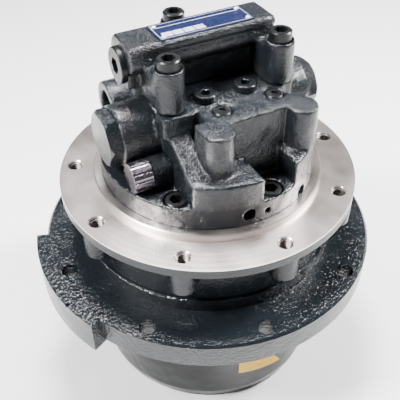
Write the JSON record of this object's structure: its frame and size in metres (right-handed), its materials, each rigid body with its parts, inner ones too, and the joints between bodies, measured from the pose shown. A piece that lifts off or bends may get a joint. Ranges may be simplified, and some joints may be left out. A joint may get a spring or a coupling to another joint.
{
  "type": "excavator final drive",
  "caption": "Travel drive for a tracked excavator: a hydraulic piston motor with valve block and brake turns a flanged hub through two planetary stages.",
  "frame": {"origin": "centre of the frame mounting face, inside the ring of tapped holes", "axes": "+Z along the turning axis, from the gear end to the motor end; +X to the right of the picture's viewer, who stands at -Y"},
  "size_m": [0.3095, 0.302, 0.3374],
  "materials": {
    "black_paint": "gloss black enamel over cast iron",
    "machined_steel": "bare turned face",
    "inner_steel": "ground or oiled steel",
    "dark_screw": "black enamel over blackened steel",
    "zinc_cap": "bright zinc plate",
    "blue_plate": "printed aluminium plate",
    "bronze": "bronze",
    "elastomer": "nitrile rubber",
    "inner_iron": "oiled cast iron"
  },
  "bodies": {
    "frame_side": {"spindle": "machined_steel", "main_bearing_inner_rings": "inner_steel", "bearing_nut": "inner_steel", "seal_ring_upper": "inner_steel", "elastic_ring_upper": "elastomer", "fixed_carrier": "inner_iron", "fixed_carrier_pins": "inner_steel", "shaft_bearing_outer_rings": "inner_steel", "shaft_seal": "elastomer", "swash_plate": "inner_steel", "pivot_balls": "inner_steel", "speed_piston": "inner_steel", "valve_plate": "bronze", "brake_steel_plates": "inner_steel", "brake_disc_springs": "inner_steel", "motor_cover": "black_paint", "case_screws": "dark_screw", "counterbalance_plugs": "black_paint", "counterbalance_springs": "inner_steel", "deck_plugs": "dark_screw", "sunk_plugs": "dark_screw", "pilot_adapter": "black_paint", "adapter_cap": "zinc_cap", "valve_block": "black_paint", "valve_block_screws": "dark_screw", "spool_end_plugs": "dark_screw", "nameplate": "blue_plate", "nameplate_rivets": "zinc_cap"},
    "hub_side": {"hub": "black_paint", "main_bearing_outer_rings": "inner_steel", "seal_ring_lower": "inner_steel", "elastic_ring_lower": "elastomer", "end_cover": "black_paint", "end_cover_screws": "dark_screw", "oil_plugs": "dark_screw"},
    "upper_cage": {"upper_bearing_cage": "bronze"},
    "lower_cage": {"lower_bearing_cage": "bronze"},
    "first_carrier": {"moving_carrier": "inner_iron", "moving_carrier_pins": "inner_steel", "sun_gear_2": "inner_steel"},
    "motor_rotor": {"motor_shaft": "inner_steel", "sun_gear_1": "inner_steel", "shaft_bearing_inner_rings": "inner_steel", "cylinder_block": "inner_steel", "pistons": "inner_steel", "slipper_shoes": "bronze", "shoe_retainer": "inner_steel", "retainer_ball": "inner_steel", "block_spring": "inner_steel", "friction_discs": "bronze"},
    "shaft_cages": {"shaft_bearing_cages": "bronze"},
    "planet_2_a": {"planet_2_a": "inner_steel"},
    "planet_2_b": {"planet_2_b": "inner_steel"},
    "planet_2_c": {"planet_2_c": "inner_steel"},
    "planet_1_a": {"planet_1_a": "inner_steel"},
    "planet_1_b": {"planet_1_b": "inner_steel"},
    "planet_1_c": {"planet_1_c": "inner_steel"},
    "brake_piston": {"brake_piston": "inner_iron"},
    "counterbalance_spool": {"counterbalance_spool": "inner_steel"},
    "speed_spool": {"speed_spool": "inner_steel"}
  },
  "joints": [
    {"name": "hub_spin", "type": "hinge", "parent": "frame_side", "child": "hub_side", "pos_m": [0, 0, 0], "axis": [0, 0, 1], "continuous": true},
    {"name": "upper_cage_spin", "type": "hinge", "parent": "frame_side", "child": "upper_cage", "pos_m": [0, 0, -0.075], "axis": [0, 0, 1], "continuous": true},
    {"name": "lower_cage_spin", "type": "hinge", "parent": "frame_side", "child": "lower_cage", "pos_m": [0, 0, -0.103], "axis": [0, 0, 1], "continuous": true},
    {"name": "first_carrier_spin", "type": "hinge", "parent": "frame_side", "child": "first_carrier", "pos_m": [0, 0, -0.17], "axis": [0, 0, 1], "continuous": true},
    {"name": "shaft_spin", "type": "hinge", "parent": "frame_side", "child": "motor_rotor", "pos_m": [0, 0, 0], "axis": [0, 0, 1], "continuous": true},
    {"name": "shaft_cages_spin", "type": "hinge", "parent": "frame_side", "child": "shaft_cages", "pos_m": [0, 0, -0.1], "axis": [0, 0, 1], "continuous": true},
    {"name": "planet_2_a_spin", "type": "hinge", "parent": "frame_side", "child": "planet_2_a", "pos_m": [0, 0.05625, -0.1472], "axis": [0, 0, 1], "continuous": true},
    {"name": "planet_2_b_spin", "type": "hinge", "parent": "frame_side", "child": "planet_2_b", "pos_m": [-0.04871, -0.02813, -0.1472], "axis": [0, 0, 1], "continuous": true},
    {"name": "planet_2_c_spin", "type": "hinge", "parent": "frame_side", "child": "planet_2_c", "pos_m": [0.04871, -0.02813, -0.1472], "axis": [0, 0, 1], "continuous": true},
    {"name": "planet_1_a_spin", "type": "hinge", "parent": "first_carrier", "child": "planet_1_a", "pos_m": [0.04547, 0.02625, -0.1762], "axis": [0, 0, 1], "continuous": true},
    {"name": "planet_1_b_spin", "type": "hinge", "parent": "first_carrier", "child": "planet_1_b", "pos_m": [-0.04547, 0.02625, -0.1762], "axis": [0, 0, 1], "continuous": true},
    {"name": "planet_1_c_spin", "type": "hinge", "parent": "first_carrier", "child": "planet_1_c", "pos_m": [0, -0.0525, -0.1762], "axis": [0, 0, 1], "continuous": true},
    {"name": "brake_release", "type": "slide", "parent": "frame_side", "child": "brake_piston", "axis": [0, 0, 1], "range_m": [0, 0.0025], "deforming": ["brake_disc_springs"]},
    {"name": "counterbalance_slide", "type": "slide", "parent": "frame_side", "child": "counterbalance_spool", "axis": [0.8829, 0.4695, 0], "range_m": [-0.007, 0.007], "deforming": ["counterbalance_springs"]},
    {"name": "speed_spool_slide", "type": "slide", "parent": "frame_side", "child": "speed_spool", "axis": [0.8829, 0.4695, 0], "range_m": [0, 0.006]}
  ],
  "couplings": [
    {"joint": "upper_cage_spin", "follows": "hub_spin", "ratio": 0.5324},
    {"joint": "lower_cage_spin", "follows": "hub_spin", "ratio": 0.5324},
    {"joint": "first_carrier_spin", "follows": "hub_spin", "ratio": -4},
    {"joint": "shaft_spin", "follows": "hub_spin", "ratio": -34},
    {"joint": "shaft_cages_spin", "follows": "hub_spin", "ratio": -13.26},
    {"joint": "planet_2_a_spin", "follows": "hub_spin", "ratio": 2.6667},
    {"joint": "planet_2_b_spin", "follows": "hub_spin", "ratio": 2.6667},
    {"joint": "planet_2_c_spin", "follows": "hub_spin", "ratio": 2.6667},
    {"joint": "planet_1_a_spin", "follows": "hub_spin", "ratio": 12},
    {"joint": "planet_1_b_spin", "follows": "hub_spin", "ratio": 12},
    {"joint": "planet_1_c_spin", "follows": "hub_spin", "ratio": 12}
  ]
}
